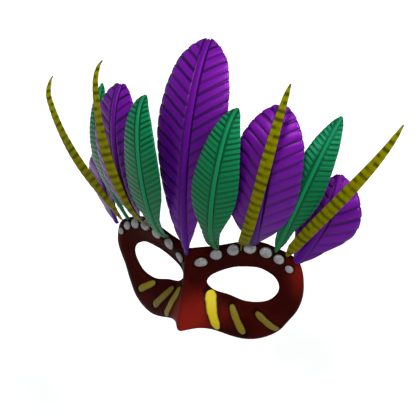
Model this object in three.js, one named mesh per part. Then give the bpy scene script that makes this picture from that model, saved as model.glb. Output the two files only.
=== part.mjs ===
// Carnival half mask with a crest of feathers.
// Millimetres. X runs across the face, towards the wearer's left. Y runs back, towards the face. Z is up.
// The origin is the spot on the inner face of the shell where the mask sits on the bridge of the nose.
import * as THREE from 'three';

// Shell
const wall = 3;
const halfWidth = 92;
const browRise = 39.5;
const cheekDrop = 50.3;
const faceCurveDepth = 21.5;
const cheekWrap = 7.8;
const edgeTurnDepth = 3.6;
const edgeTurnWidth = 9;
const socketDepth = 5.5;
const innerSocketDepth = 5;
const socketReach = 11;
const noseRootHeight = 2;
const noseTipHeight = 19;
const noseRootWidth = 4.5;
const noseTipWidth = 13;
const noseHalfWidth = 12;

// Eye holes
const eyeCentreAcross = 42;
const eyeCentreUp = 0;
const eyeWidth = 60;
const eyeHeight = 30.5;

// Stones and painted stripes
const stoneLength = 10.8;
const stoneWidth = 8.4;
const stoneHeight = 1.9;
const stripeWidth = 6;
const stripeHeight = 0.9;
const seatGap = 0.3;

// Feathers
const crestRise = 167.2;
const quillFoot = 5;
const purpleWidth = 69;
const greenWidth = 38;
const yellowWidth = 9.7;
const vaneThickness = 1.2;
const vaneFold = 0.13;
const purpleShaftWidth = 6.8;
const greenShaftWidth = 4.2;
const yellowShaftWidth = 1.5;
const shaftHeight = 0.9;
const shaftTaper = 0.25;
const shaftMost = 0.8;
const hookStart = 0.86;
const quillStandOff = 2.5;

// How finely the surfaces are divided
const outlineSteps = 42;
const centreSteps = 16;
const spineSteps = 13;

const paint = {
  shell: { color: 0x3c0603, roughness: 0.42, metalness: 0 },
  stone: { color: 0x8a8a8a, roughness: 0.3, metalness: 0 },
  stripe: { color: 0xd8bf1e, roughness: 0.45, metalness: 0 },
  purple: { color: 0x5c0a8c, roughness: 0.6, metalness: 0 },
  green: { color: 0x128a58, roughness: 0.6, metalness: 0 },
  yellow: { color: 0x9a9a0c, roughness: 0.6, metalness: 0 },
};

const mask = new THREE.Group();

function addPiece(name, geometry, look) {
  const material = new THREE.MeshStandardMaterial(paint[look]);
  const mesh = new THREE.Mesh(geometry, material);
  mesh.name = name;
  mask.add(mesh);
}

function mirrored(points) {
  return points.map((point) => new THREE.Vector3(-point.x, point.y, point.z));
}

function solid(points, triangles) {
  const geometry = new THREE.BufferGeometry();
  const numbers = points.flatMap((point) => [point.x, point.y, point.z]);
  geometry.setAttribute('position', new THREE.Float32BufferAttribute(numbers, 3));
  const outward = volumeOf(points, triangles) > 0;
  const faces = outward ? triangles : triangles.map(([a, b, c]) => [a, c, b]);
  geometry.setIndex(faces.flat());
  geometry.computeVertexNormals();
  return geometry;
}

function volumeOf(points, triangles) {
  let total = 0;
  for (const [a, b, c] of triangles) {
    total += points[a].dot(new THREE.Vector3().crossVectors(points[b], points[c])) / 6;
  }
  return total;
}

// Outline of one half of the mask, from the top of the brow at the middle round the temple to the nose tip.
// across is a share of halfWidth. up is a share of browRise above the origin and of cheekDrop below it.
const halfOutline = [
  { across: 0.0, up: 0.72 },
  { across: 0.1, up: 0.73 },
  { across: 0.25, up: 0.81 },
  { across: 0.4, up: 0.92 },
  { across: 0.54, up: 1.0 },
  { across: 0.66, up: 0.98 },
  { across: 0.77, up: 0.89 },
  { across: 0.87, up: 0.79 },
  { across: 0.95, up: 0.65 },
  { across: 0.99, up: 0.4 },
  { across: 1.0, up: 0.1 },
  { across: 0.98, up: -0.18 },
  { across: 0.93, up: -0.44 },
  { across: 0.86, up: -0.64 },
  { across: 0.79, up: -0.81 },
  { across: 0.7, up: -0.92 },
  { across: 0.6, up: -0.985 },
  { across: 0.5, up: -1.0 },
  { across: 0.39, up: -0.965 },
  { across: 0.3, up: -0.91 },
  { across: 0.2, up: -0.85 },
  { across: 0.09, up: -0.82 },
  { across: 0.0, up: -0.815 },
];

// Outline of an eye hole. across and up are shares of half its width and half its height.
const eyeOutline = [
  { across: -1.0, up: -0.23 },
  { across: -0.93, up: 0.1 },
  { across: -0.62, up: 0.52 },
  { across: -0.18, up: 0.9 },
  { across: 0.2, up: 1.02 },
  { across: 0.47, up: 1.01 },
  { across: 0.69, up: 0.84 },
  { across: 0.87, up: 0.59 },
  { across: 0.97, up: 0.26 },
  { across: 0.99, up: -0.13 },
  { across: 0.9, up: -0.56 },
  { across: 0.7, up: -0.92 },
  { across: 0.4, up: -1.07 },
  { across: 0.08, up: -1.05 },
  { across: -0.38, up: -0.81 },
  { across: -0.83, up: -0.62 },
];

function smoothLine(points, closed, count) {
  const curve = new THREE.CatmullRomCurve3(points, closed, 'centripetal');
  return curve.getPoints(count);
}

const outlinePoints = halfOutline.map(({ across, up }) => {
  const reach = up > 0 ? browRise : cheekDrop;
  return new THREE.Vector3(across * halfWidth, 0, up * reach);
});
const eyePoints = eyeOutline.map(({ across, up }) => new THREE.Vector3(
  eyeCentreAcross + across * eyeWidth / 2,
  0,
  eyeCentreUp + up * eyeHeight / 2,
));
const outlineLine = smoothLine(outlinePoints, false, 240);
const eyeLine = smoothLine(eyePoints, true, 240);
const browTop = halfOutline[0].up * browRise;
const noseTip = halfOutline.at(-1).up * cheekDrop;

function distanceToLine(across, up, line) {
  let nearest = Infinity;
  for (let i = 1; i < line.length; i += 1) {
    const start = line[i - 1];
    const run = line[i].x - start.x;
    const rise = line[i].z - start.z;
    const share = ((across - start.x) * run + (up - start.z) * rise) / (run * run + rise * rise);
    const along = THREE.MathUtils.clamp(share, 0, 1);
    nearest = Math.min(nearest, Math.hypot(across - start.x - along * run, up - start.z - along * rise));
  }
  return nearest;
}

function noseSize(up) {
  const down = (browTop - up) / (browTop - noseTip);
  return {
    height: noseRootHeight + (noseTipHeight - noseRootHeight) * down,
    width: noseRootWidth + (noseTipWidth - noseRootWidth) * down,
  };
}

// How far back the front of the shell lies at a point of the front view.
function frontDepth(x, up) {
  const across = Math.abs(x);
  const side = across / halfWidth;
  const face = faceCurveDepth * side ** 1.4;
  const low = THREE.MathUtils.smoothstep(-up, -0.25 * browRise, 0.5 * cheekDrop);
  const wrap = cheekWrap * low * side ** 3;
  const toEdge = distanceToLine(across, up, outlineLine);
  const edge = Math.max(0, 1 - toEdge / edgeTurnWidth);
  const turn = edgeTurnDepth * edge * edge;
  const toEye = distanceToLine(across, up, eyeLine) / socketReach;
  const inner = Math.max(0, (eyeCentreAcross - across) / eyeCentreAcross);
  const socket = (socketDepth + innerSocketDepth * inner) * Math.exp(-toEye * toEye);
  const { height, width } = noseSize(up);
  const nose = height / (1 + (across / width) ** 2);
  const inset = THREE.MathUtils.smoothstep(across, 0, noseHalfWidth);
  const bridge = noseSize(0).height - wall;
  return face + wrap + (turn + socket) * inset - nose + bridge;
}

function frontPoint(across, up, proud = 0) {
  const step = 0.5;
  const slopeAcross = (frontDepth(across + step, up) - frontDepth(across - step, up)) / (2 * step);
  const slopeUp = (frontDepth(across, up + step) - frontDepth(across, up - step)) / (2 * step);
  const normal = new THREE.Vector3(slopeAcross, -1, slopeUp).normalize();
  return new THREE.Vector3(across, frontDepth(across, up), up).addScaledVector(normal, proud);
}

// The shell is a net of rings round each eye hole, from the hole's edge out to the mask's edge and middle line.
const ringShares = [0, 0.1, 0.24, 0.4, 0.56, 0.71, 0.84, 0.93, 1];

function edgeRays() {
  const rim = smoothLine(outlinePoints, false, outlineSteps);
  const middle = [];
  for (let i = 1; i < centreSteps; i += 1) {
    middle.push(new THREE.Vector3(0, 0, noseTip + (browTop - noseTip) * i / centreSteps));
  }
  return [...rim, ...middle];
}

function eyeEdgeTowards(point) {
  const wanted = Math.atan2(point.z - eyeCentreUp, point.x - eyeCentreAcross);
  let best = eyeLine[0];
  let bestMiss = Infinity;
  for (const edge of smoothLine(eyePoints, true, 1440)) {
    const angle = Math.atan2(edge.z - eyeCentreUp, edge.x - eyeCentreAcross);
    const miss = Math.abs(Math.atan2(Math.sin(angle - wanted), Math.cos(angle - wanted)));
    if (miss < bestMiss) {
      best = edge;
      bestMiss = miss;
    }
  }
  return best;
}

function buildShell() {
  const points = [];
  const triangles = [];
  const known = new Map();
  const rays = edgeRays();
  const eyeEdges = rays.map(eyeEdgeTowards);
  const indexOf = (point) => {
    const key = [point.x, point.y, point.z].map((value) => Math.round(value * 1000)).join();
    if (!known.has(key)) {
      known.set(key, points.length);
      points.push(point);
    }
    return known.get(key);
  };
  for (const side of [1, -1]) {
    const front = [];
    const back = [];
    for (const share of ringShares) {
      const ring = rays.map((ray, k) => new THREE.Vector3().lerpVectors(eyeEdges[k], ray, share));
      front.push(ring.map(({ x, z }) => indexOf(frontPoint(side * x, z))));
      back.push(ring.map(({ x, z }) => indexOf(frontPoint(side * x, z, -wall))));
    }
    const quad = (a, b, c, d) => {
      const faces = side > 0 ? [[a, b, c], [a, c, d]] : [[a, c, b], [a, d, c]];
      triangles.push(...faces);
    };
    const last = ringShares.length - 1;
    for (let k = 0; k < rays.length; k += 1) {
      const next = (k + 1) % rays.length;
      for (let i = 0; i < last; i += 1) {
        quad(front[i][k], front[i + 1][k], front[i + 1][next], front[i][next]);
        quad(back[i][k], back[i][next], back[i + 1][next], back[i + 1][k]);
      }
      quad(front[0][k], front[0][next], back[0][next], back[0][k]);
      if (k < outlineSteps) {
        quad(front[last][k], back[last][k], back[last][next], front[last][next]);
      }
    }
  }
  return solid(points, triangles);
}

addPiece('mask_shell', buildShell(), 'shell');

// Height of the brow's edge at a distance from the middle.
function browEdge(across) {
  for (let i = 1; i < outlineLine.length; i += 1) {
    const start = outlineLine[i - 1];
    const end = outlineLine[i];
    if (end.x >= across) {
      return THREE.MathUtils.mapLinear(across, start.x, end.x, start.z, end.z);
    }
  }
  return browTop;
}

// Stones of one side. across is a share of halfWidth, below is the drop under the brow's edge as a share of
// browRise, size a share of the full stone and tilt the turn of its long axis, in degrees.
const stones = [
  { across: 0.109, below: 0.3, size: 0.98, tilt: 28 },
  { across: 0.246, below: 0.17, size: 1.0, tilt: 28 },
  { across: 0.401, below: 0.135, size: 1.0, tilt: 20 },
  { across: 0.549, below: 0.13, size: 1.0, tilt: 4 },
  { across: 0.687, below: 0.15, size: 0.96, tilt: -18 },
  { across: 0.799, below: 0.17, size: 0.84, tilt: -32 },
  { across: 0.889, below: 0.26, size: 0.68, tilt: -52 },
];
const stoneSides = 12;
const domeRings = [
  { out: 1.0, height: 0.0 },
  { out: 0.96, height: 0.42 },
  { out: 0.72, height: 0.8 },
];

function buildStone({ across, below, size, tilt }) {
  const middle = across * halfWidth;
  const level = browEdge(middle) - below * browRise;
  const turn = THREE.MathUtils.degToRad(tilt);
  const place = (alongShare, acrossShare, height) => {
    const along = alongShare * size * stoneLength / 2;
    const over = acrossShare * size * stoneWidth / 2;
    const x = middle + along * Math.cos(turn) - over * Math.sin(turn);
    const z = level + along * Math.sin(turn) + over * Math.cos(turn);
    return frontPoint(x, z, seatGap + height * stoneHeight);
  };
  const rings = domeRings.map(({ out, height }) => {
    const ring = [];
    for (let k = 0; k < stoneSides; k += 1) {
      const angle = 2 * Math.PI * k / stoneSides;
      ring.push(place(out * Math.cos(angle), out * Math.sin(angle), height));
    }
    return ring;
  });
  return closedRings(rings, place(0, 0, 0), place(0, 0, 1));
}

// Joins rings of equal count one after another and closes the ends with a point each.
function closedRings(rings, firstTip, lastTip) {
  const count = rings[0].length;
  const points = [...rings.flat(), firstTip, lastTip];
  const first = points.length - 2;
  const last = points.length - 1;
  const triangles = [];
  for (let k = 0; k < count; k += 1) {
    const next = (k + 1) % count;
    triangles.push([first, next, k]);
    const top = (rings.length - 1) * count;
    triangles.push([last, top + k, top + next]);
    for (let i = 0; i + 1 < rings.length; i += 1) {
      const low = i * count;
      const high = low + count;
      triangles.push([low + k, low + next, high + next], [low + k, high + next, high + k]);
    }
  }
  return { points, triangles };
}

function addPair(name, { points, triangles }, look) {
  addPiece(`${name}_left`, solid(points, triangles), look);
  addPiece(`${name}_right`, solid(mirrored(points), triangles), look);
}

stones.forEach((stone, i) => addPair(`brow_stone_${i + 1}`, buildStone(stone), 'stone'));

// Painted strokes of each side. top and low are the stroke's two ends and topWide and lowWide the widths there.
// across is a share of halfWidth, up a share of cheekDrop, and the widths are shares of stripeWidth.
const stripes = [
  { name: 'cheek_stripe_1_left', side: 1, top: [0.164, -0.196], low: [0.286, -0.82], topWide: 1.5, lowWide: 1.1 },
  { name: 'cheek_stripe_2_left', side: 1, top: [0.374, -0.388], low: [0.512, -0.862], topWide: 0.85, lowWide: 1.1 },
  { name: 'cheek_stripe_3_left', side: 1, top: [0.595, -0.475], low: [0.79, -0.76], topWide: 0.85, lowWide: 0.95 },
  { name: 'cheek_stripe_1_right', side: -1, top: [0.116, -0.246], low: [0.277, -0.83], topWide: 1.1, lowWide: 0.95 },
  { name: 'cheek_stripe_2_right', side: -1, top: [0.224, -0.314], low: [0.447, -0.767], topWide: 0.85, lowWide: 1.15 },
  { name: 'cheek_stripe_3_right', side: -1, top: [0.469, -0.37], low: [0.681, -0.624], topWide: 0.9, lowWide: 1.1 },
];
const stripeSteps = 10;
const stripeFull = 1.2;
const stripeRoundness = 0.6;
const stripeSteepness = 1.6;
const strokeProfile = [[-1, 0], [-0.82, 0.75], [-0.4, 1], [0.4, 1], [0.82, 0.75], [1, 0], [0, 0]];

function buildStripe({ side, top, low, topWide, lowWide }) {
  const start = new THREE.Vector2(top[0] * halfWidth, top[1] * cheekDrop);
  const end = new THREE.Vector2(low[0] * halfWidth, low[1] * cheekDrop);
  const way = new THREE.Vector2().subVectors(end, start).normalize();
  const over = new THREE.Vector2(-way.y, way.x);
  const place = (along, offset, height) => {
    const spot = new THREE.Vector2().lerpVectors(start, end, along).addScaledVector(over, offset);
    const point = frontPoint(spot.x, spot.y, seatGap + height * stripeHeight);
    return point.setX(side * point.x);
  };
  const rings = [];
  for (let i = 1; i < stripeSteps; i += 1) {
    const along = (1 - Math.cos(Math.PI * i / stripeSteps)) / 2;
    const inward = Math.sin(Math.PI * i / stripeSteps);
    const fullness = Math.min(1, stripeFull * inward ** stripeRoundness);
    const half = stripeWidth / 2 * THREE.MathUtils.lerp(topWide, lowWide, along) * fullness;
    const height = Math.min(1, stripeSteepness * inward);
    rings.push(strokeProfile.map(([u, v]) => place(along, u * half, v * height)));
  }
  return closedRings(rings, place(0, 0, 0), place(1, 0, 0));
}

for (const stripe of stripes) {
  const { points, triangles } = buildStripe(stripe);
  addPiece(stripe.name, solid(points, triangles), 'stripe');
}

// Feathers. seat is where the quill sits along the brow, as a share of halfWidth, and foot is how far the quill
// reaches down the brow's front from its edge, as a share of quillFoot. rise is the height of the tip above the
// seat, as a share of crestRise. first, second and tip are the bends of the spine from the seat, and hook is the
// last curl of the tip, as shares of the feather's rise: out to the side, back and up. wide is a share of the
// kind's width and turn is how far the blade faces sideways, in degrees.
const feathers = [
  { name: 'purple_feather_centre', kind: 'purple', shape: 'long', seat: 0, foot: 1, rise: 1, wide: 0.89,
    turn: 0, first: [0, -0.12, 0.48], second: [0, 0.093, 0.906], tip: [0, 0.202, 1], hook: [0, 0] },
  { name: 'green_feather_inner', kind: 'green', shape: 'lance', seat: 0.257, foot: 0.44, rise: 0.7105, wide: 1,
    turn: 7, first: [0.024, -0.314, 0.115], second: [0.16, -0.263, 0.963], tip: [0.153, -0.031, 1],
    hook: [0, 0] },
  { name: 'yellow_feather_inner', kind: 'yellow', shape: 'strip', seat: 0.475, foot: 1.2, rise: 0.814, wide: 1,
    turn: 5, first: [0.125, -0.231, 0.027], second: [0.322, -0.231, 0.916], tip: [0.308, -0.065, 1],
    hook: [-0.007, 0.018] },
  { name: 'purple_feather_middle', kind: 'purple', shape: 'round', seat: 0.582, foot: 0.44, rise: 0.688,
    wide: 0.81, turn: 14, first: [0.094, -0.207, 0.173], second: [0.192, -0.215, 0.777],
    tip: [0.175, -0.003, 1], hook: [0, 0] },
  { name: 'green_feather_outer', kind: 'green', shape: 'lance', seat: 0.768, foot: 0.44, rise: 0.6597, wide: 0.8,
    turn: 20, first: [0.239, -0.186, 0.453], second: [0.324, 0.005, 0.819], tip: [0.376, 0.191, 1],
    hook: [0, 0] },
  { name: 'yellow_feather_outer', kind: 'yellow', shape: 'strip', seat: 0.857, foot: 0.44, rise: 0.6914, wide: 1,
    turn: 5, first: [0.326, -0.165, 0.416], second: [0.612, -0.093, 0.716], tip: [0.735, 0.036, 1],
    hook: [-0.012, 0.076] },
  { name: 'purple_feather_outer', kind: 'purple', shape: 'fan', seat: 0.94, foot: 0.44, rise: 0.4246, wide: 0.76,
    turn: 25, first: [0.3, -0.02, 0.45], second: [0.41, 0.1, 0.7], tip: [0.34, 0.29, 1],
    hook: [0, 0] },
];

// Half width of a blade along its spine, as a share of its full half width, one row for each step.
const bladeShapes = {
  long: [[0, 0.1], [0.03, 0.14], [0.08, 0.27], [0.16, 0.43], [0.33, 0.73], [0.47, 0.91], [0.56, 0.985],
    [0.65, 1], [0.77, 0.94], [0.86, 0.81], [0.91, 0.7], [0.965, 0.42], [1, 0.12]],
  round: [[0, 0.1], [0.04, 0.14], [0.09, 0.3], [0.15, 0.52], [0.23, 0.77], [0.34, 0.94], [0.48, 1],
    [0.64, 0.97], [0.78, 0.88], [0.88, 0.68], [0.95, 0.46], [1, 0.2]],
  fan: [[0, 0.1], [0.13, 0.36], [0.28, 0.6], [0.4, 0.85], [0.5, 0.98], [0.6, 1], [0.7, 0.92], [0.85, 0.64],
    [0.93, 0.38], [1, 0.08]],
  lance: [[0, 0.1], [0.04, 0.17], [0.09, 0.3], [0.2, 0.42], [0.27, 0.63], [0.34, 0.84], [0.42, 0.97],
    [0.5, 1], [0.6, 0.94], [0.7, 0.83], [0.81, 0.67], [0.88, 0.5], [0.95, 0.3], [1, 0.05]],
  strip: [[0, 0.24], [0.077, 0.92], [0.25, 1], [0.55, 1], [0.62, 0.93], [0.74, 0.8], [0.81, 0.69], [0.87, 0.59],
    [0.94, 0.45], [1, 0.1]],
};

function shareAt(shape, along) {
  for (let i = 1; i < shape.length; i += 1) {
    if (along <= shape[i][0]) {
      return THREE.MathUtils.mapLinear(along, shape[i - 1][0], shape[i][0], shape[i - 1][1], shape[i][1]);
    }
  }
  return shape.at(-1)[1];
}

const kindWidths = { purple: purpleWidth, green: greenWidth, yellow: yellowWidth };
const kindShafts = { purple: purpleShaftWidth, green: greenShaftWidth, yellow: yellowShaftWidth };

function featherSpine({ seat, foot, rise, first, second, tip }) {
  const across = seat * halfWidth;
  const edge = browEdge(across);
  const quillCentre = seatGap + vaneThickness / 2 + shaftHeight;
  const root = new THREE.Vector3(across, frontDepth(across, edge), edge);
  const bend = (shares) => new THREE.Vector3(...shares).multiplyScalar(rise * crestRise).add(root);
  const lip = frontPoint(across, edge, quillCentre + quillStandOff);
  return {
    foot: frontPoint(across, edge - foot * quillFoot, quillCentre),
    blade: new THREE.CubicBezierCurve3(lip, bend(first), bend(second), bend(tip)),
  };
}

function buildFeather(feather) {
  const { kind, shape, rise, wide, turn, hook } = feather;
  const { foot, blade } = featherSpine(feather);
  const facing = THREE.MathUtils.degToRad(turn);
  const sideways = new THREE.Vector3(Math.cos(facing), Math.sin(facing), 0);
  const fullHalf = wide * kindWidths[kind] / 2;
  const section = (centre, tangent, along) => {
    const width = sideways.clone().addScaledVector(tangent, -sideways.dot(tangent)).normalize();
    const normal = new THREE.Vector3().crossVectors(width, tangent);
    const taper = 1 - shaftTaper * along;
    const half = fullHalf * shareAt(bladeShapes[shape], along);
    const shaft = Math.min(kindShafts[kind] / 2 * taper, shaftMost * half);
    const skin = vaneThickness / 2;
    const crown = skin + shaftHeight * taper;
    const fold = -vaneFold * (half - shaft);
    const edge = skin / 2;
    const profile = [
      [-half, fold + edge], [-shaft, skin], [-shaft / 2, crown],
      [shaft / 2, crown], [shaft, skin], [half, fold + edge],
      [half, fold - edge], [shaft, -skin], [shaft / 2, -crown],
      [-shaft / 2, -crown], [-shaft, -skin], [-half, fold - edge],
    ];
    return profile.map(([u, v]) => centre.clone().addScaledVector(width, u).addScaledVector(normal, v));
  };
  const centreAt = (along) => {
    const curl = Math.max(0, (along - hookStart) / (1 - hookStart)) ** 2 * rise * crestRise;
    return blade.getPointAt(along).add(new THREE.Vector3(hook[0] * curl, hook[1] * curl, 0));
  };
  const lip = blade.getPointAt(0);
  const footWay = new THREE.Vector3().subVectors(lip, foot).normalize();
  const rings = [section(foot, footWay, 0)];
  for (let i = 0; i <= spineSteps; i += 1) {
    const along = i / spineSteps;
    const before = i === 0 ? foot : centreAt((i - 1) / spineSteps);
    const after = centreAt(Math.min(1, (i + 1) / spineSteps));
    const tangent = new THREE.Vector3().subVectors(after, before).normalize();
    rings.push(section(centreAt(along), tangent, along));
  }
  return closedRings(rings, foot, centreAt(1));
}

for (const feather of feathers) {
  const built = buildFeather(feather);
  if (feather.seat === 0) {
    addPiece(feather.name, solid(built.points, built.triangles), feather.kind);
  } else {
    addPair(feather.name, built, feather.kind);
  }
}

export default mask;
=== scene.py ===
# %% [markdown]
# # A carnival half mask with a crest of feathers
# The real thing is a hard half mask of moulded paper pulp, lacquered dark red. Domed stones follow its brow, strokes
# of thick yellow paint cross its cheeks, and thirteen dyed feathers stand up from its top edge. Every cell below makes
# one piece or one finish. The text before it says what the piece is, how it could be made, and why this way was taken.

import math

import bmesh
import bpy
import numpy as np
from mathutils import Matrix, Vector


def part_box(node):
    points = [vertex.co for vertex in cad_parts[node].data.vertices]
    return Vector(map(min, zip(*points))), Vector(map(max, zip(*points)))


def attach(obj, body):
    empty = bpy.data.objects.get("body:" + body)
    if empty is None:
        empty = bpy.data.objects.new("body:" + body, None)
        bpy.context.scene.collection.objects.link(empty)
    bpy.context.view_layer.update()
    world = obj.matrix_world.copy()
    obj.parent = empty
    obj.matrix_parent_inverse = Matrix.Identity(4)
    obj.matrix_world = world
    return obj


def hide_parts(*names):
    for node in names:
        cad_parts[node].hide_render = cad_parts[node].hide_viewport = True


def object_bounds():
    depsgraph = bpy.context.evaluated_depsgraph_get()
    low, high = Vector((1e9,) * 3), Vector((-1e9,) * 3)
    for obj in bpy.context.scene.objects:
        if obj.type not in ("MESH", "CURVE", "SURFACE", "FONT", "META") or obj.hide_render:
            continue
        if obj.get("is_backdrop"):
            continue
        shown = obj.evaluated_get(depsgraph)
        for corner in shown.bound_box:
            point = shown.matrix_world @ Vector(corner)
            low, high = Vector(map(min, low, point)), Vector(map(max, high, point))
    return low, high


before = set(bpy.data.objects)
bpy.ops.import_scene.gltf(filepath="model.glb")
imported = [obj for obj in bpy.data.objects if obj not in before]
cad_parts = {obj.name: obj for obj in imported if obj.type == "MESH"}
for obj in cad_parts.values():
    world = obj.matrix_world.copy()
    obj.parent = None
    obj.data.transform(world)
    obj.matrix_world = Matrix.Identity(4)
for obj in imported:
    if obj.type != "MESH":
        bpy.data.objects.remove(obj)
cad_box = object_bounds()
print("pieces in the frame:", len(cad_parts))

# %% [markdown]
# ## Units and the camera
# The frame is in metres, so every length here is a number of millimetres times `MM`. The camera stands to the wearer's
# left and above, with a long lens. A camera looks down its own -Z, so its turn can be built from three directions:
# right, up, and back towards the camera. That is easier to read than three angles.

# %% Place the camera
MM = 0.001
CAMERA_AZIMUTH = math.radians(30)
CAMERA_ELEVATION = math.radians(20.78)
CAMERA_DISTANCE = 763 * MM
CAMERA_AIM = Vector((7, 27, 55.7)) * MM
LENS_MM = 78.76

back = Vector((
    math.sin(CAMERA_AZIMUTH) * math.cos(CAMERA_ELEVATION),
    -math.cos(CAMERA_AZIMUTH) * math.cos(CAMERA_ELEVATION),
    math.sin(CAMERA_ELEVATION),
))
camera_data = bpy.data.cameras.new("camera")
camera_data.lens = LENS_MM
camera = bpy.data.objects.new("camera", camera_data)
camera.location = CAMERA_AIM + back * CAMERA_DISTANCE
camera.rotation_euler = back.to_track_quat("Z", "Y").to_euler()
bpy.context.scene.collection.objects.link(camera)
bpy.context.scene.camera = camera
print("camera at", [round(value, 3) for value in camera.location])

# %% [markdown]
# ## Node helpers
# A finish is a small tree of nodes. Short helpers keep the trees readable: `add` makes a node and fills its sockets,
# `calc` does arithmetic, `fade` goes from 0 to 1 between two limits, and `noise` and `uv_parts` give the patterns and
# the stored numbers that a finish reads. A socket takes a number or another node's output, and `fill` tells them apart.

# %% Helpers for materials
def fill(tree, socket, value):
    if isinstance(value, bpy.types.NodeSocket):
        tree.links.new(value, socket)
    else:
        socket.default_value = value


def add(tree, kind, settings=None, **sockets):
    node = tree.nodes.new(kind)
    for name, value in (settings or {}).items():
        setattr(node, name, value)
    for name, value in sockets.items():
        fill(tree, node.inputs[name.replace("_", " ")], value)
    return node


def calc(tree, operation, *values):
    node = add(tree, "ShaderNodeMath", {"operation": operation})
    for socket, value in zip(node.inputs, values):
        fill(tree, socket, value)
    return node.outputs[0]


def fade(tree, value, start, end):
    settings = {"interpolation_type": "SMOOTHSTEP"}
    return add(tree, "ShaderNodeMapRange", settings, Value=value, From_Min=start, From_Max=end).outputs["Result"]


def blend_colours(tree, share, first, second):
    node = add(tree, "ShaderNodeMix", {"data_type": "RGBA"})
    for socket, value in zip((node.inputs[0], node.inputs[6], node.inputs[7]), (share, first, second)):
        fill(tree, socket, value)
    return node.outputs[2]


def noise(tree, scale, detail, vector=None, **more):
    """Cloudy grey values at a vector, or else at the place in the frame. more fills other sockets of the noise."""
    if vector is None:
        vector = add(tree, "ShaderNodeTexCoord").outputs["Object"]
    return add(tree, "ShaderNodeTexNoise", Vector=vector, Scale=scale, Detail=detail, **more).outputs[0]


def uv_map(tree, name):
    return add(tree, "ShaderNodeUVMap", {"uv_map": name}).outputs[0]


def uv_parts(tree, name):
    """The two numbers that a UV map holds at each point."""
    return add(tree, "ShaderNodeSeparateXYZ", Vector=uv_map(tree, name)).outputs[:2]


def vary(tree, pattern, spread, least):
    """A value that runs with the pattern from least to least + spread."""
    return calc(tree, "ADD", calc(tree, "MULTIPLY", pattern, spread), least)


def colour(red, green, blue):
    """A colour as it looks on a screen, 0 to 255 each, turned into the linear values that shaders use."""
    linear = [
        part / 12.92 if part <= 0.04045 else ((part + 0.055) / 1.055) ** 2.4
        for part in (red / 255, green / 255, blue / 255)
    ]
    return (*linear, 1.0)


def new_finish(name, **surface):
    """A material whose main shader has these constant values. Returns the material, its tree and the shader."""
    material = bpy.data.materials.new(name)
    material.use_nodes = True
    tree = material.node_tree
    shader = tree.nodes["Principled BSDF"]
    for socket, value in surface.items():
        shader.inputs[socket.replace("_", " ")].default_value = value
    return material, tree, shader


def dress(tree, shader, shade, roughness):
    tree.links.new(shade, shader.inputs["Base Color"])
    tree.links.new(roughness, shader.inputs["Roughness"])


def add_bump(tree, shader, height, depth, strength=1.0):
    bump = add(tree, "ShaderNodeBump", Strength=strength, Distance=depth, Height=height)
    tree.links.new(bump.outputs["Normal"], shader.inputs["Normal"])


print("node helpers are ready")

# %% [markdown]
# ## Floor and light
# The setting is a plain white sweep. The mask floats above it at the height where a wearer's face would hold it, so the
# sweep only catches a faint shade. The sweep has to be evenly white out to its far edge, and a lamp at a few metres
# would leave a bright pool in the middle, so the key is a sun: it lights every spot equally. Its wide angle makes it
# as soft as a large lamp. It stands to the wearer's left, and a second, weaker one in front puts the soft gleam on
# the upper right half of each feather.

# %% Make the floor and the lights
FLOOR_DROP = 300 * MM
FLOOR_SIZE = 60.0
AIR_COLOUR = (0.96, 0.98, 1.0, 1.0)
AIR_STRENGTH = 0.35

bpy.ops.mesh.primitive_plane_add(size=FLOOR_SIZE, location=(0, 0, -FLOOR_DROP))
floor = bpy.context.object
floor.name = "studio_floor"
floor_finish, floor_tree, floor_shader = new_finish("pale_floor", Roughness=0.9)
grain = add(floor_tree, "ShaderNodeTexNoise", Scale=3.0, Detail=2.0)
floor_shade = blend_colours(floor_tree, grain.outputs[0], colour(246, 246, 245), colour(250, 250, 250))
floor_tree.links.new(floor_shade, floor_shader.inputs["Base Color"])
floor.data.materials.append(floor_finish)
floor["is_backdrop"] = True

world = bpy.data.worlds.new("studio_air")
world.use_nodes = True
air = world.node_tree.nodes["Background"]
air.inputs["Color"].default_value = AIR_COLOUR
air.inputs["Strength"].default_value = AIR_STRENGTH
bpy.context.scene.world = world
bpy.context.scene.view_settings.view_transform = "Standard"

SUNS = [
    # name, azimuth and elevation, width of the sun's disc (all in degrees), strength
    ("side_key", 68, 40, 18, 3.3),
    ("front_gleam", 11, 40, 14, 1.9),
]


def add_sun(name, azimuth, elevation, width, strength):
    data = bpy.data.lights.new(name, "SUN")
    data.angle = math.radians(width)
    data.energy = strength
    turn, rise = math.radians(azimuth), math.radians(elevation)
    away = Vector((math.sin(turn) * math.cos(rise), -math.cos(turn) * math.cos(rise), math.sin(rise)))
    sun = bpy.data.objects.new(name, data)
    sun.rotation_euler = away.to_track_quat("Z", "Y").to_euler()
    bpy.context.scene.collection.objects.link(sun)


for sun_values in SUNS:
    add_sun(*sun_values)
print("suns:", [sun_values[0] for sun_values in SUNS])

# %% [markdown]
# ## The form of the mask
# The whole front is one surface: how far back it lies depends only on where you are in the front view. So the form is
# a function, and everything that sits on the mask asks the same function where the surface is. The outline and the
# eye holes are smooth lines through a few chosen points, given as shares of the mask's own sizes.

# %% Sizes and outlines of the mask
WALL = 3 * MM
HALF_WIDTH = 92 * MM
BROW_RISE = 39.5 * MM
CHEEK_DROP = 50.3 * MM
EYE_ACROSS = 42 * MM
EYE_WIDTH = 60 * MM
EYE_HEIGHT = 30.5 * MM
OUTLINE_STEPS = 240

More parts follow.
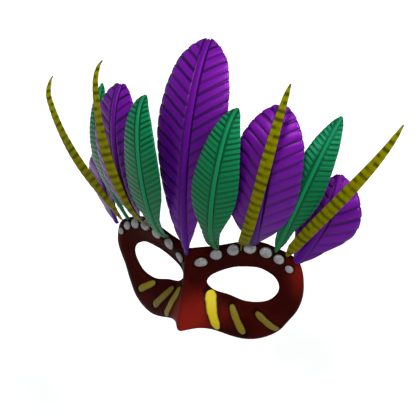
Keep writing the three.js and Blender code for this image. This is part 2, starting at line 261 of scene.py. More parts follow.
HALF_OUTLINE = [
    # across as a share of HALF_WIDTH, up as a share of BROW_RISE or, below the middle, of CHEEK_DROP
    (0.0, 0.72), (0.1, 0.73), (0.25, 0.81), (0.4, 0.92), (0.54, 1.0), (0.66, 0.98), (0.77, 0.89), (0.87, 0.79),
    (0.95, 0.65), (0.99, 0.4), (1.0, 0.1), (0.98, -0.18), (0.93, -0.44), (0.86, -0.64), (0.79, -0.81),
    (0.7, -0.92), (0.6, -0.985), (0.5, -1.0), (0.39, -0.965), (0.3, -0.91), (0.2, -0.85), (0.09, -0.82),
    (0.0, -0.815),
]
EYE_OUTLINE = [
    # shares of half the eye hole's width and height
    (-1.0, -0.23), (-0.93, 0.1), (-0.62, 0.52), (-0.18, 0.9), (0.2, 1.02), (0.47, 1.01), (0.69, 0.84),
    (0.87, 0.59), (0.97, 0.26), (0.99, -0.13), (0.9, -0.56), (0.7, -0.92), (0.4, -1.07), (0.08, -1.05),
    (-0.38, -0.81), (-0.83, -0.62),
]


def between(a, b, c, d, share):
    """A point of the smooth line from b to c, whose bends also follow a and d."""
    first, second, third = (max(math.sqrt(np.linalg.norm(q - p)), 1e-6) for p, q in ((a, b), (b, c), (c, d)))
    leave = ((b - a) / first - (c - a) / (first + second) + (c - b) / second) * second
    arrive = ((c - b) / second - (d - b) / (second + third) + (d - c) / third) * second
    turn = -3 * b + 3 * c - 2 * leave - arrive
    rest = 2 * b - 2 * c + leave + arrive
    return b + leave * share + turn * share**2 + rest * share**3


def smooth_line(points, closed, count):
    points = np.array(points, float)
    total = len(points)
    if not closed:
        points = np.vstack([2 * points[0] - points[1], points, 2 * points[-1] - points[-2]])
    line = []
    for step in range(count + 1):
        place = step / count * (total if closed else total - 1)
        start = min(int(place), total - (1 if closed else 2))
        if closed:
            four = [points[(start + k) % total] for k in (-1, 0, 1, 2)]
        else:
            four = points[start:start + 4]
        line.append(between(*four, place - start))
    return np.array(line)


outline_points = [(across * HALF_WIDTH, up * (BROW_RISE if up > 0 else CHEEK_DROP)) for across, up in HALF_OUTLINE]
eye_points = [(EYE_ACROSS + across * EYE_WIDTH / 2, up * EYE_HEIGHT / 2) for across, up in EYE_OUTLINE]
outline_line = smooth_line(outline_points, False, OUTLINE_STEPS)
eye_line = smooth_line(eye_points, True, OUTLINE_STEPS)
BROW_TOP = outline_points[0][1]
NOSE_TIP = outline_points[-1][1]
print("mask outline runs", round(float(outline_line[:, 0].max()) / MM, 1), "mm out from the middle")

# %% [markdown]
# ## How far back the front lies
# Six simple effects add up: the curve of a face, a wrap round the cheeks, a turned edge, a socket round each eye, a
# nose ridge, and a shift that puts the bridge's inner face at the origin. Numpy works all points out at once, so
# thousands of points take a blink.

# %% The front surface as a function
FACE_CURVE = 21.5 * MM
FACE_ROUNDNESS = 1.4
CHEEK_WRAP = 7.8 * MM
WRAP_FADE = (-0.25 * BROW_RISE, 0.5 * CHEEK_DROP)
EDGE_TURN = 3.6 * MM
EDGE_TURN_WIDTH = 9 * MM
SOCKET_DEPTH = 5.5 * MM
INNER_SOCKET = 5 * MM
SOCKET_REACH = 11 * MM
NOSE_HEIGHTS = (2 * MM, 19 * MM)
NOSE_WIDTHS = (4.5 * MM, 13 * MM)
NOSE_HALF_WIDTH = 12 * MM
SLOPE_STEP = 0.5 * MM


def smoothstep(value, low, high):
    share = np.clip((value - low) / (high - low), 0, 1)
    return share * share * (3 - 2 * share)


def distance_to(across, up, line):
    """Shortest distance from each point to a line of short straight runs."""
    start, end = line[:-1], line[1:]
    run = end - start
    offset = np.stack([across, up], -1)[..., None, :] - start
    along = np.clip((offset * run).sum(-1) / (run * run).sum(-1), 0, 1)
    return np.linalg.norm(offset - along[..., None] * run, axis=-1).min(-1)


def nose_size(up):
    down = (BROW_TOP - up) / (BROW_TOP - NOSE_TIP)
    height = NOSE_HEIGHTS[0] + (NOSE_HEIGHTS[1] - NOSE_HEIGHTS[0]) * down
    width = NOSE_WIDTHS[0] + (NOSE_WIDTHS[1] - NOSE_WIDTHS[0]) * down
    return height, width


BRIDGE = nose_size(0.0)[0] - WALL


def front_depth(x, up):
    across = np.abs(x)
    side = across / HALF_WIDTH
    face = FACE_CURVE * side**FACE_ROUNDNESS
    wrap = CHEEK_WRAP * smoothstep(-up, *WRAP_FADE) * side**3
    edge = np.maximum(0, 1 - distance_to(across, up, outline_line) / EDGE_TURN_WIDTH)
    eye = distance_to(across, up, eye_line) / SOCKET_REACH
    inner = np.maximum(0, (EYE_ACROSS - across) / EYE_ACROSS)
    socket = (SOCKET_DEPTH + INNER_SOCKET * inner) * np.exp(-eye * eye)
    height, width = nose_size(up)
    nose = height / (1 + (across / width) ** 2)
    inset = smoothstep(across, 0, NOSE_HALF_WIDTH)
    return face + wrap + (EDGE_TURN * edge * edge + socket) * inset - nose + BRIDGE


def front_point(x, up, proud=0.0):
    """The points of the front at x and up, moved out along the surface's own direction by proud."""
    x, up = np.asarray(x, float), np.asarray(up, float)
    slope_x = (front_depth(x + SLOPE_STEP, up) - front_depth(x - SLOPE_STEP, up)) / (2 * SLOPE_STEP)
    slope_up = (front_depth(x, up + SLOPE_STEP) - front_depth(x, up - SLOPE_STEP)) / (2 * SLOPE_STEP)
    normal = np.stack([slope_x, -np.ones_like(slope_x), slope_up], -1)
    normal /= np.linalg.norm(normal, axis=-1, keepdims=True)
    return np.stack([x, front_depth(x, up), up], -1) + normal * np.asarray(proud)[..., None]


nose_front = -float(front_depth(np.array(0.0), np.array(NOSE_TIP)))
print("nose ridge stands", round(nose_front / MM, 1), "mm forward at the tip")

# %% [markdown]
# ## Turning points into a mesh
# Every piece below is made of grids of points, so one helper turns points and faces into an object. It also welds
# points that fall together, points all faces outwards, shades them smoothly, and hides the frame's piece that the new
# mesh stands for. Extra numbers for each point, such as where painted light and shade lie, go into UV maps, which a
# material can read.

# %% Helpers for meshes
def grid_faces(rows, columns, start=0, closed=False):
    """Faces of a grid of points, listed row by row. A closed grid joins its last column to its first."""
    faces = []
    for row in range(rows - 1):
        for column in range(columns if closed else columns - 1):
            other = (column + 1) % columns
            low, high = start + row * columns, start + (row + 1) * columns
            faces.append((low + column, low + other, high + other, high + column))
    return faces


def tidy_mesh(mesh, weld=0.0):
    """Welds points closer than weld, drops faces without area and points all faces outwards."""
    work = bmesh.new()
    work.from_mesh(mesh)
    if weld:
        bmesh.ops.remove_doubles(work, verts=work.verts, dist=weld)
    bmesh.ops.dissolve_degenerate(work, edges=work.edges, dist=1e-7)
    bmesh.ops.recalc_face_normals(work, faces=work.faces)
    work.to_mesh(mesh)
    work.free()
    mesh.shade_smooth()


def make_piece(name, points, faces, finishes, node, weld=0.0, slots=None, layers=None):
    """An object from points and faces that stands for a node. layers holds a UV map's values for each point."""
    mesh = bpy.data.meshes.new(name)
    mesh.from_pydata([tuple(point) for point in points], [], faces)
    for finish in finishes:
        mesh.materials.append(finish)
    if slots is not None:
        mesh.polygons.foreach_set("material_index", slots)
    corners = np.zeros(len(mesh.loops), np.int32)
    mesh.loops.foreach_get("vertex_index", corners)
    for layer, values in (layers or {}).items():
        uv = mesh.uv_layers.new(name=layer)
        uv.data.foreach_set("uv", np.asarray(values, np.float32)[corners].ravel())
    tidy_mesh(mesh, weld)
    piece = bpy.data.objects.new(name, mesh)
    bpy.context.scene.collection.objects.link(piece)
    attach(piece, "root")
    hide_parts(node)
    return piece


print("mesh helpers are ready")

# %% [markdown]
# ## Where the stones and the strokes lie
# The lacquer is painted a little darker round each stone and each stroke: a soft line of painted shade where shade
# gathers at their feet. The shell's finish needs those places too, so both tables come first. Stones are the same on
# both sides. The strokes were painted freehand, so each side has its own.

# %% Tables of stones and strokes
STONE_LENGTH = 10.8 * MM
STONE_WIDTH = 8.4 * MM
STONE_HEIGHT = 1.9 * MM
STROKE_WIDTH = 6 * MM
STROKE_HEIGHT = 0.9 * MM
SEAT_GAP = 0.3 * MM

STONES = [
    # across as a share of HALF_WIDTH, drop below the brow's edge as a share of BROW_RISE, size, tilt in degrees
    (0.109, 0.3, 0.98, 28),
    (0.246, 0.17, 1.0, 28),
    (0.401, 0.135, 1.0, 20),
    (0.549, 0.13, 1.0, 4),
    (0.687, 0.15, 0.96, -18),
    (0.799, 0.17, 0.84, -32),
    (0.889, 0.26, 0.68, -52),
]
STROKES = [
    # name, side, the upper and the lower end (shares of HALF_WIDTH and CHEEK_DROP), the two widths, painted highlight
    ("cheek_stripe_1_left", 1, (0.164, -0.196), (0.286, -0.82), 1.5, 1.1, 0.65),
    ("cheek_stripe_2_left", 1, (0.374, -0.388), (0.512, -0.862), 0.85, 1.1, 0.05),
    ("cheek_stripe_3_left", 1, (0.595, -0.475), (0.79, -0.76), 0.85, 0.95, 0.0),
    ("cheek_stripe_1_right", -1, (0.116, -0.246), (0.277, -0.83), 1.1, 0.95, 0.1),
    ("cheek_stripe_2_right", -1, (0.224, -0.314), (0.447, -0.767), 0.85, 1.15, 0.0),
    ("cheek_stripe_3_right", -1, (0.469, -0.37), (0.681, -0.624), 0.9, 1.1, 0.1),
]


def brow_edge(across):
    """Height of the brow's edge at a distance from the middle."""
    for start, end in zip(outline_line, outline_line[1:]):
        if end[0] >= across:
            return float(start[1] + (end[1] - start[1]) * (across - start[0]) / (end[0] - start[0]))


def stone_place(across, below, size, tilt):
    """The stone's middle, half length, half width and turn."""
    middle = across * HALF_WIDTH
    level = brow_edge(middle) - below * BROW_RISE
    return middle, level, size * STONE_LENGTH / 2, size * STONE_WIDTH / 2, math.radians(tilt)


def stroke_ends(top, low):
    scale = np.array([HALF_WIDTH, CHEEK_DROP])
    return np.array(top) * scale, np.array(low) * scale


print("stones a side:", len(STONES), "and strokes:", len(STROKES))

# %% [markdown]
# ## The shell
# The shell is pressed from paper pulp in a mould, so both faces are smooth and its edges are round. It could be carved
# from a plane with a solidify modifier, but a net of rings laid round each eye hole keeps the points close together
# where the form bends: at the hole's edge and at the rim. Near an edge the front sheet rolls back by half the wall and
# the back sheet rolls forward to meet it, and that gives the round lip.

# %% Build the shell
RIM_STEPS = 200
HOLE_STEPS = 1440
MIDDLE_STEPS = 56
BODY_ROWS = 24
LIP = WALL / 2
LIP_ROWS = np.array([0, 0.06, 0.24, 0.55]) * LIP
HAND_WAVE = 0.16 * MM
ACROSS_RATE, UP_RATE, SLANT_RATE = 190, 230, 120


def shell_net():
    """Places (across, up) of the net, one row for each ring from the eye hole out, one column for each ray."""
    rim = smooth_line(outline_points, False, RIM_STEPS)
    middle_up = np.linspace(NOSE_TIP, BROW_TOP, MIDDLE_STEPS + 1)[1:-1]
    ends = np.vstack([rim, np.stack([np.zeros_like(middle_up), middle_up], -1)])
    hole = smooth_line(eye_points, True, HOLE_STEPS)
    hole_angle = np.arctan2(hole[:, 1], hole[:, 0] - EYE_ACROSS)
    wanted = np.arctan2(ends[:, 1], ends[:, 0] - EYE_ACROSS)
    miss = np.abs(np.angle(np.exp(1j * (hole_angle[None] - wanted[:, None]))))
    starts = hole[miss.argmin(1)]
    length = np.linalg.norm(ends - starts, axis=1)
    rows = [inset / length for inset in LIP_ROWS]
    first, last = LIP / length, 1 - LIP / length
    rows += [first + (last - first) * share for share in np.linspace(0, 1, BODY_ROWS)]
    rows += [1 - inset / length for inset in LIP_ROWS[::-1]]
    shares = np.array(rows)[..., None]
    return starts + (ends - starts) * shares


def build_shell_points():
    net = shell_net()
    across, up = net[..., 0], net[..., 1]
    inside = np.minimum(distance_to(across, up, outline_line), distance_to(across, up, eye_line))
    near = np.clip(inside / LIP, 0, 1)
    roll = LIP * (1 - np.sqrt(np.maximum(0, 1 - (1 - near) ** 2)))
    sheets = []
    for side in (1, -1):
        ripple = np.sin(across * ACROSS_RATE + side) * np.cos(up * UP_RATE)
        wave = HAND_WAVE * (ripple + np.sin((across + up) * SLANT_RATE * side)) / 2
        calm = near * smoothstep(across, 0, NOSE_HALF_WIDTH)
        sheets.append(front_point(side * across, up, wave * calm - roll))
        sheets.append(front_point(side * across, up, wave * calm - WALL + roll))
    return sheets


shell_sheets = build_shell_points()
net_rows, net_columns = shell_sheets[0].shape[:2]
shell_points = np.vstack([sheet.reshape(-1, 3) for sheet in shell_sheets])
sheet_size = net_rows * net_columns
shell_faces = []
for sheet_number in range(len(shell_sheets)):
    shell_faces += grid_faces(net_rows, net_columns, sheet_number * sheet_size, closed=True)
print("shell points:", len(shell_points), "faces:", len(shell_faces))

# %% [markdown]
# ## The lacquer
# The front is nearly black maroon. It is painted redder on the nose and towards the temples, most on the wearer's
# left: painted light, where the key light falls on those sides. Round the stones and strokes a soft line of painted
# shade is left. Both are worked out for each point and stored in a UV map, which is cheaper and sharper than mixing
# many gradients in nodes. The nodes add what a hand leaves: cloudy pigment, fine pulp grain and a lacquer that isn't
# equally glossy everywhere.

# %% Painted light and painted shade on the shell
# painted light: redder spots on the lacquer that stand in for light falling on the nose and the temples
PAINTED_LIGHT_SPOTS = [
    # across and up of the middle, reach across and up (mm), strength
    (4, -33, 20, 24, 1.0),
    (0, -6, 7, 18, 0.2),
    (91, 16, 12, 24, 0.65),
    (-91, 10, 13, 30, 0.25),
    (30, -28, 12, 12, 0.45),
]
# how far out from a stone or a stroke the line of painted shade starts to fade, and where it ends
STONE_SHADE_LINE = (0.2 * MM, 1.7 * MM)
STROKE_SHADE_LINE = (0.0, 1.6 * MM)
STROKE_BODY = 0.9


# painted light: how much redder the lacquer is painted at each point
def painted_light_at(x, up):
    total = np.zeros_like(x)
    for across, level, reach_x, reach_up, strength in PAINTED_LIGHT_SPOTS:
        gap = ((x - across * MM) / (reach_x * MM)) ** 2 + ((up - level * MM) / (reach_up * MM)) ** 2
        total = np.maximum(total, strength * np.exp(-gap))
    return total


def painted_shade_at(x, up):
    """Painted shade: 1 beside a stone or a stroke, fading to 0 a little further out."""
    dark = np.zeros_like(x)
    for stone in STONES:
        middle, level, long_half, short_half, turn = stone_place(*stone)
        u = (np.abs(x) - middle) * math.cos(turn) + (up - level) * math.sin(turn)
        v = (up - level) * math.cos(turn) - (np.abs(x) - middle) * math.sin(turn)
        out = (np.sqrt((u / long_half) ** 2 + (v / short_half) ** 2) - 1) * short_half
        dark = np.maximum(dark, 1 - smoothstep(out, *STONE_SHADE_LINE))
    for _, side, top, low, top_wide, low_wide, _ in STROKES:
        start, end = stroke_ends(top, low)
        run = end - start
        offset = np.stack([side * x, up], -1) - start
        along = np.clip((offset * run).sum(-1) / (run * run).sum(), 0, 1)
        out = np.linalg.norm(offset - along[:, None] * run, axis=-1)
        out -= STROKE_WIDTH / 2 * (top_wide + (low_wide - top_wide) * along) * STROKE_BODY
        dark = np.maximum(dark, 1 - smoothstep(out, *STROKE_SHADE_LINE))
    return dark


shell_painted_light = painted_light_at(shell_points[:, 0], shell_points[:, 2])
shell_painted_shade = painted_shade_at(shell_points[:, 0], shell_points[:, 2])
shell_back = np.concatenate([np.full(sheet_size, float(number % 2)) for number in range(len(shell_sheets))])
shell_layers = {"painted_light_and_shade": np.stack([shell_painted_light, shell_painted_shade * (1 - shell_back)], -1)}
print("strongest blush:", round(float(shell_painted_light.max()), 2))

# %% Lacquer of the shell
lacquer, tree, shader = new_finish("dark_red_lacquer", Specular_IOR_Level=0.01)
painted_light, painted_shade = uv_parts(tree, "painted_light_and_shade")
cloud = noise(tree, 42.0, 5.0, Roughness=0.62)
fine = noise(tree, 620.0, 4.0, Roughness=0.7)
# painted light: the lacquer turns red where light falls on the nose and the temples
cloudy_painted_light = calc(tree, "MULTIPLY", painted_light, vary(tree, cloud, 0.9, 0.55))
base = blend_colours(tree, fade(tree, cloud, 0.3, 0.75), colour(26, 2, 1), colour(40, 4, 2))
painted_lit_red = blend_colours(tree, fade(tree, cloudy_painted_light, 0.05, 0.95), base, colour(86, 15, 9))
speckled = blend_colours(tree, fade(tree, fine, 0.62, 0.8), painted_lit_red, colour(46, 8, 5))
# painted shade: the lacquer goes nearly black round the stones and strokes
shade_lined = blend_colours(tree, calc(tree, "MULTIPLY", painted_shade, 0.8), speckled, colour(9, 1, 1))
dress(tree, shader, shade_lined, vary(tree, cloud, 0.3, 0.3))
pulp = calc(tree, "ADD", calc(tree, "MULTIPLY", cloud, 0.7), calc(tree, "MULTIPLY", fine, 0.3))
add_bump(tree, shader, pulp, 0.35 * MM, 0.5)

shell = make_piece(
    "mask_shell_lacquered", shell_points, shell_faces, [lacquer], "mask_shell",
    weld=0.002 * MM, layers=shell_layers,
)
low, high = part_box("mask_shell")
print("shell in the frame is", [round(value / MM, 1) for value in (high - low)], "mm")
print("shell made here is  ", [round(value / MM, 1) for value in shell.dimensions], "mm")

# %% [markdown]
# ## The stones
# Each stone is a pressed oval dome of grey resin with a pearly top, glued on by its flat back. A squashed sphere would
# bulge too much, so the dome is a set of rings that rise quickly at the edge and flatten out on top. Every ring asks
# the front surface where it is, so a stone bends with the brow instead of cutting into it.

# %% Resin finish of the stones
resin, tree, shader = new_finish("grey_pearl_resin", Specular_IOR_Level=0.25, Coat_Weight=0.1, Coat_Roughness=0.2)
swirl = noise(tree, 260.0, 3.0, Distortion=1.2)
dust = noise(tree, 1400.0, 2.0)
pearl = blend_colours(tree, fade(tree, swirl, 0.3, 0.7), colour(82, 82, 83), colour(108, 108, 108))
worn = blend_colours(tree, fade(tree, dust, 0.6, 0.78), pearl, colour(84, 82, 81))
reach_out, _ = uv_parts(tree, "dome")
# painted shade: the dome darkens at its foot, where it meets the shell
edged = blend_colours(tree, fade(tree, reach_out, 0.8, 1.02), worn, colour(34, 30, 30))
dress(tree, shader, edged, vary(tree, dust, 0.25, 0.26))
add_bump(tree, shader, swirl, 0.12 * MM, 0.35)
print("finish made:", resin.name)

# %% Build the stones
STONE_SIDES = 36
DOME = [
    # reach out from the middle, height
    (0.0, 0.0), (0.9, 0.0), (0.975, 0.03), (1.0, 0.14), (0.985, 0.32), (0.94, 0.5), (0.86, 0.67), (0.73, 0.82),
    (0.54, 0.93), (0.3, 0.985), (0.0, 1.0),
]


def build_stone(stone, side):
    middle, level, long_half, short_half, turn = stone_place(*stone)
    angle = np.arange(STONE_SIDES) * 2 * math.pi / STONE_SIDES
    rings, reaches = [], []
    for reach, height in DOME:
        along, over = reach * long_half * np.cos(angle), reach * short_half * np.sin(angle)
        x = middle + along * math.cos(turn) - over * math.sin(turn)
        up = level + along * math.sin(turn) + over * math.cos(turn)
        rings.append(front_point(side * x, up, np.full_like(x, SEAT_GAP + height * STONE_HEIGHT)))
        reaches.append(np.stack([np.full_like(x, reach), np.full_like(x, height)], -1))
    faces = grid_faces(len(DOME), STONE_SIDES, closed=True)
    return np.vstack(rings), faces, {"dome": np.vstack(reaches)}


for number, stone in enumerate(STONES, 1):
    for side, word in ((1, "left"), (-1, "right")):
        points, faces, layers = build_stone(stone, side)
        node = f"brow_stone_{number}_{word}"
        make_piece(f"{node}_dome", points, faces, [resin], node, weld=0.005 * MM, layers=layers)
print("stones made:", 2 * len(STONES))

# %% [markdown]
# ## The painted strokes
# A loaded brush leaves a low ridge of paint with round ends. A flat decal would look printed, so each stroke is a thin
# raised body that follows the cheek, a little uneven along its edges. Its finish has streaks that run the way the brush
# went. It is darker at its edges, where the paint thins out and where painted shade carries on the dark line round
# the stroke. A painted highlight makes it lighter towards its upper end, most on the first stroke on the wearer's
# left, where light falls on the flank of the nose.

# %% Paint of the strokes
stroke_paint, tree, shader = new_finish("thick_yellow_paint", Specular_IOR_Level=0.12)
across_share, _ = uv_parts(tree, "brush")
painted_highlight, _ = uv_parts(tree, "highlight_share")
stretch = add(tree, "ShaderNodeMapping", Vector=uv_map(tree, "brush"), Scale=(9.0, 1.1, 1.0))
streaks = noise(tree, 1.6, 4.0, stretch.outputs[0], Roughness=0.6)
yellow = blend_colours(tree, fade(tree, streaks, 0.3, 0.72), colour(66, 56, 1), colour(90, 78, 3))
# painted highlight: lighter yellow where light falls, fading towards the stroke's lower end
yellow = blend_colours(tree, painted_highlight, yellow, colour(190, 172, 12))
# darker at the edges: the paint thins out there, and painted shade carries on the dark line round the stroke
thin = fade(tree, calc(tree, "ABSOLUTE", across_share), 0.62, 1.05)
edged = blend_colours(tree, calc(tree, "MULTIPLY", thin, 0.75), yellow, colour(30, 23, 1))
dress(tree, shader, edged, vary(tree, streaks, 0.3, 0.3))
add_bump(tree, shader, streaks, 0.25 * MM, 0.6)
print("finish made:", stroke_paint.name)

# %% Build the strokes
STROKE_STEPS = 34
STROKE_SIDES = 18
END_ROUNDNESS = 0.6
EDGE_WAVES = (0.035, 17), (0.02, 41)  # depth as a share of the width, waves along the stroke
TOP_WAVE = (0.12, 13)
STREAK_LENGTHS = 5
# how much the painted highlight fades towards the stroke's lower end
HIGHLIGHT_FADE = 0.45


def build_stroke(side, top, low, top_wide, low_wide, highlight_share, seed):
    start, end = stroke_ends(top, low)
    way = (end - start) / np.linalg.norm(end - start)
    over = np.array([-way[1], way[0]])
    turn = np.arange(STROKE_SIDES) * 2 * math.pi / STROKE_SIDES
    rings, brush, highlight_rows = [], [], []
    (broad, broad_rate), (slight, slight_rate) = EDGE_WAVES
    for step in range(STROKE_STEPS + 1):
        angle = math.pi * step / STROKE_STEPS
        along, fullness = (1 - math.cos(angle)) / 2, math.sin(angle)
        wide = STROKE_WIDTH / 2 * (top_wide + (low_wide - top_wide) * along) * min(1, fullness**END_ROUNDNESS * 1.2)
        wide *= 1 + broad * math.sin(along * broad_rate + seed) + slight * math.sin(along * slight_rate + 2 * seed)
        height = min(1, fullness * 1.6) * (1 - TOP_WAVE[0] * math.sin(along * TOP_WAVE[1] + seed))
        across_share = np.cos(turn)
        lift = np.maximum(0, np.sin(turn)) ** 0.7 * height
        spot = start + (end - start) * along + over * (wide * across_share)[:, None]
        rings.append(front_point(side * spot[:, 0], spot[:, 1], SEAT_GAP + lift * STROKE_HEIGHT))
        brush.append(np.stack([across_share, np.full(STROKE_SIDES, along * STREAK_LENGTHS + seed)], -1))
        highlight_rows.append(np.full((STROKE_SIDES, 2), highlight_share * (1 - HIGHLIGHT_FADE * along)))
    layers = {"brush": np.vstack(brush), "highlight_share": np.vstack(highlight_rows)}
    return np.vstack(rings), grid_faces(STROKE_STEPS + 1, STROKE_SIDES, closed=True), layers


for number, (node, side, *shape) in enumerate(STROKES):
    points, faces, layers = build_stroke(side, *shape, seed=number * 1.7)
    make_piece(f"{node}_paint", points, faces, [stroke_paint], node, weld=0.005 * MM, layers=layers)
print("strokes made:", len(STROKES))

# %% [markdown]
# ## The line of a feather
# A feather's shaft is a gentle curve. Its quill is bound on the front of the brow, then it rises and leans back. Four
# points of a Bezier curve are enough for that, and the table gives them as shares of the feather's own rise. Walking
# along the curve at an even pace needs its length, so the helper adds up many short steps first.

# %% Table and spine of the feathers
CREST_RISE = 167.2 * MM
QUILL_FOOT = 5 * MM
QUILL_STAND_OFF = 2.5 * MM
VANE_SKIN = 0.6 * MM
SHAFT_HEIGHT = 0.9 * MM
HOOK_START = 0.86

FEATHERS = [
    # node, kind, outline, seat along the brow, foot, rise, width, turn in degrees, then four bends (out, back, up)
    ("purple_feather_centre", "purple", "long", 0, 1.0, 1.0, 0.89, 0,
     (0, -0.12, 0.48), (0, 0.093, 0.906), (0, 0.202, 1), (0, 0)),
    ("green_feather_inner", "green", "lance", 0.257, 0.44, 0.7105, 1.0, 7,
     (0.024, -0.314, 0.115), (0.16, -0.263, 0.963), (0.153, -0.031, 1), (0, 0)),
    ("yellow_feather_inner", "yellow", "strip", 0.475, 1.2, 0.814, 1.0, 5,
     (0.125, -0.231, 0.027), (0.322, -0.231, 0.916), (0.308, -0.065, 1), (-0.007, 0.018)),
    ("purple_feather_middle", "purple", "round", 0.582, 0.44, 0.688, 0.81, 14,
     (0.094, -0.207, 0.173), (0.192, -0.215, 0.777), (0.175, -0.003, 1), (0, 0)),
    ("green_feather_outer", "green", "lance", 0.768, 0.44, 0.6597, 0.8, 20,
     (0.239, -0.186, 0.453), (0.324, 0.005, 0.819), (0.376, 0.191, 1), (0, 0)),
    ("yellow_feather_outer", "yellow", "strip", 0.857, 0.44, 0.6914, 1.0, 5,
     (0.326, -0.165, 0.416), (0.612, -0.093, 0.716), (0.735, 0.036, 1), (-0.012, 0.076)),
    ("purple_feather_outer", "purple", "fan", 0.94, 0.44, 0.4246, 0.76, 25,
     (0.3, -0.02, 0.45), (0.41, 0.1, 0.7), (0.34, 0.29, 1), (0, 0)),
]
SPINE_SAMPLES = 600


def feather_spine(seat, foot, rise, first, second, tip, hook):
    """Evenly paced points of the shaft, from the quill's lip to the tip, and the point of the quill's foot."""
    across = seat * HALF_WIDTH
    edge = brow_edge(across)
    centre = SEAT_GAP + VANE_SKIN + SHAFT_HEIGHT
    root = front_point(across, edge)
    lip = front_point(across, edge, centre + QUILL_STAND_OFF)
    bends = [lip] + [root + np.array(bend) * rise for bend in (first, second, tip)]
    t = np.linspace(0, 1, SPINE_SAMPLES)[:, None]
    curve = sum(
        count * (1 - t) ** (3 - power) * t**power * bend
        for power, (count, bend) in enumerate(zip((1, 3, 3, 1), bends))
    )
    steps = np.linalg.norm(np.diff(curve, axis=0), axis=1)
    length = np.concatenate([[0], np.cumsum(steps)])
    even = np.linspace(0, length[-1], SPINE_SAMPLES)
    spine = np.stack([np.interp(even, length, curve[:, axis]) for axis in range(3)], -1)
    curl = np.maximum(0, (even / length[-1] - HOOK_START) / (1 - HOOK_START)) ** 2 * rise
    spine[:, 0] += hook[0] * curl
    spine[:, 1] += hook[1] * curl
    return spine, float(length[-1]), front_point(across, edge - foot, centre)


for node, kind, shape, seat, foot, rise, wide, turn, *bends in FEATHERS:
    spine, length, _ = feather_spine(seat, foot * QUILL_FOOT, rise * CREST_RISE, *bends)
    print(f"{node}: {length / MM:.0f} mm along the shaft, tip at", [round(float(v) / MM) for v in spine[-1]])

# %% [markdown]
# ## What the dyed feathers look like
# Each vane is dyed, then its barbs are drawn together into ribs with a dark line between them, and the shaft is edged
# with two dark lines. The vane meshes below carry two UV maps. `barb` counts ribs along the shaft and runs 0 to 1 out
# along a barb, so a line between ribs is just where the count passes a half. `blade` holds the distance from the shaft
# and the share of the way to the tip. One function makes the finish for every dye.

# %% Finish of a dyed vane
STRANDS_IN_A_RIB = 15.0
STRAND_BREAKS = 1.6
LINE_WOBBLE = 0.16
LINE_COVER = 0.94
STRAND_COVER = 0.28
BORDER_FADE = (0.23, 0.11)  # distance out from the shaft, in centimetres
BLACK = (0.0, 0.0, 0.0, 1.0)


def vane_finish(name, shine, dye, tip_dye_and_highlight, base_dye, line_dye, gleam, line_width, line_soft, faint, border_dark):
    """line_width and line_soft are shares of a rib. faint says how much weaker the weakest dark line is, and
    border_dark how dark the lines along the shaft are. gleam tints the highlight: dyed barbs reflect in their own
    colour, as threads of silk do."""
    material, tree, shader = new_finish(name, Specular_IOR_Level=shine, Specular_Tint=gleam)
    count, out = uv_parts(tree, "barb")
    from_shaft, along = uv_parts(tree, "blade")
    cloud = noise(tree, 90.0, 4.0)
    hairs = add(tree, "ShaderNodeTexNoise", {"noise_dimensions": "2D"}, Scale=1.0, Detail=3.0, Roughness=0.65)
    across_strands = calc(tree, "MULTIPLY", count, STRANDS_IN_A_RIB)
    comb = add(tree, "ShaderNodeCombineXYZ", X=across_strands, Y=calc(tree, "MULTIPLY", out, STRAND_BREAKS))
    tree.links.new(comb.outputs[0], hairs.inputs["Vector"])
    strand = hairs.outputs[0]

    wobble = calc(tree, "MULTIPLY", calc(tree, "SUBTRACT", cloud, 0.5), LINE_WOBBLE)
    away = calc(tree, "ABSOLUTE", calc(tree, "SUBTRACT", calc(tree, "FRACT", calc(tree, "ADD", count, wobble)), 0.5))
    chance = add(tree, "ShaderNodeTexWhiteNoise", {"noise_dimensions": "1D"}, W=calc(tree, "FLOOR", count)).outputs[0]
    strength = calc(tree, "SUBTRACT", 1.0, calc(tree, "MULTIPLY", calc(tree, "POWER", chance, 2.0), faint))
    near_line = fade(tree, away, line_width + line_soft, line_width)
    line = calc(tree, "MULTIPLY", near_line, strength)
    border = calc(tree, "MULTIPLY", fade(tree, from_shaft, *BORDER_FADE), border_dark)
    dark = calc(tree, "MAXIMUM", line, border)

    # lighter towards the tip: the dye shifts in hue there, and on the purple feathers it is also a painted highlight
    body = blend_colours(tree, fade(tree, along, 0.0, 0.55), base_dye, dye)
    body = blend_colours(tree, fade(tree, along, 0.45, 1.0), body, tip_dye_and_highlight)
    streaked = blend_colours(tree, fade(tree, strand, 0.35, 0.75), body, BLACK)
    body = blend_colours(tree, STRAND_COVER, body, streaked)
    lined = blend_colours(tree, calc(tree, "MULTIPLY", dark, LINE_COVER), body, line_dye)
    dress(tree, shader, lined, vary(tree, strand, 0.2, 0.25))
    relief = calc(tree, "SUBTRACT", calc(tree, "MULTIPLY", strand, 0.55), calc(tree, "MULTIPLY", dark, 0.8))
    add_bump(tree, shader, relief, 0.2 * MM, 0.45)
    return material


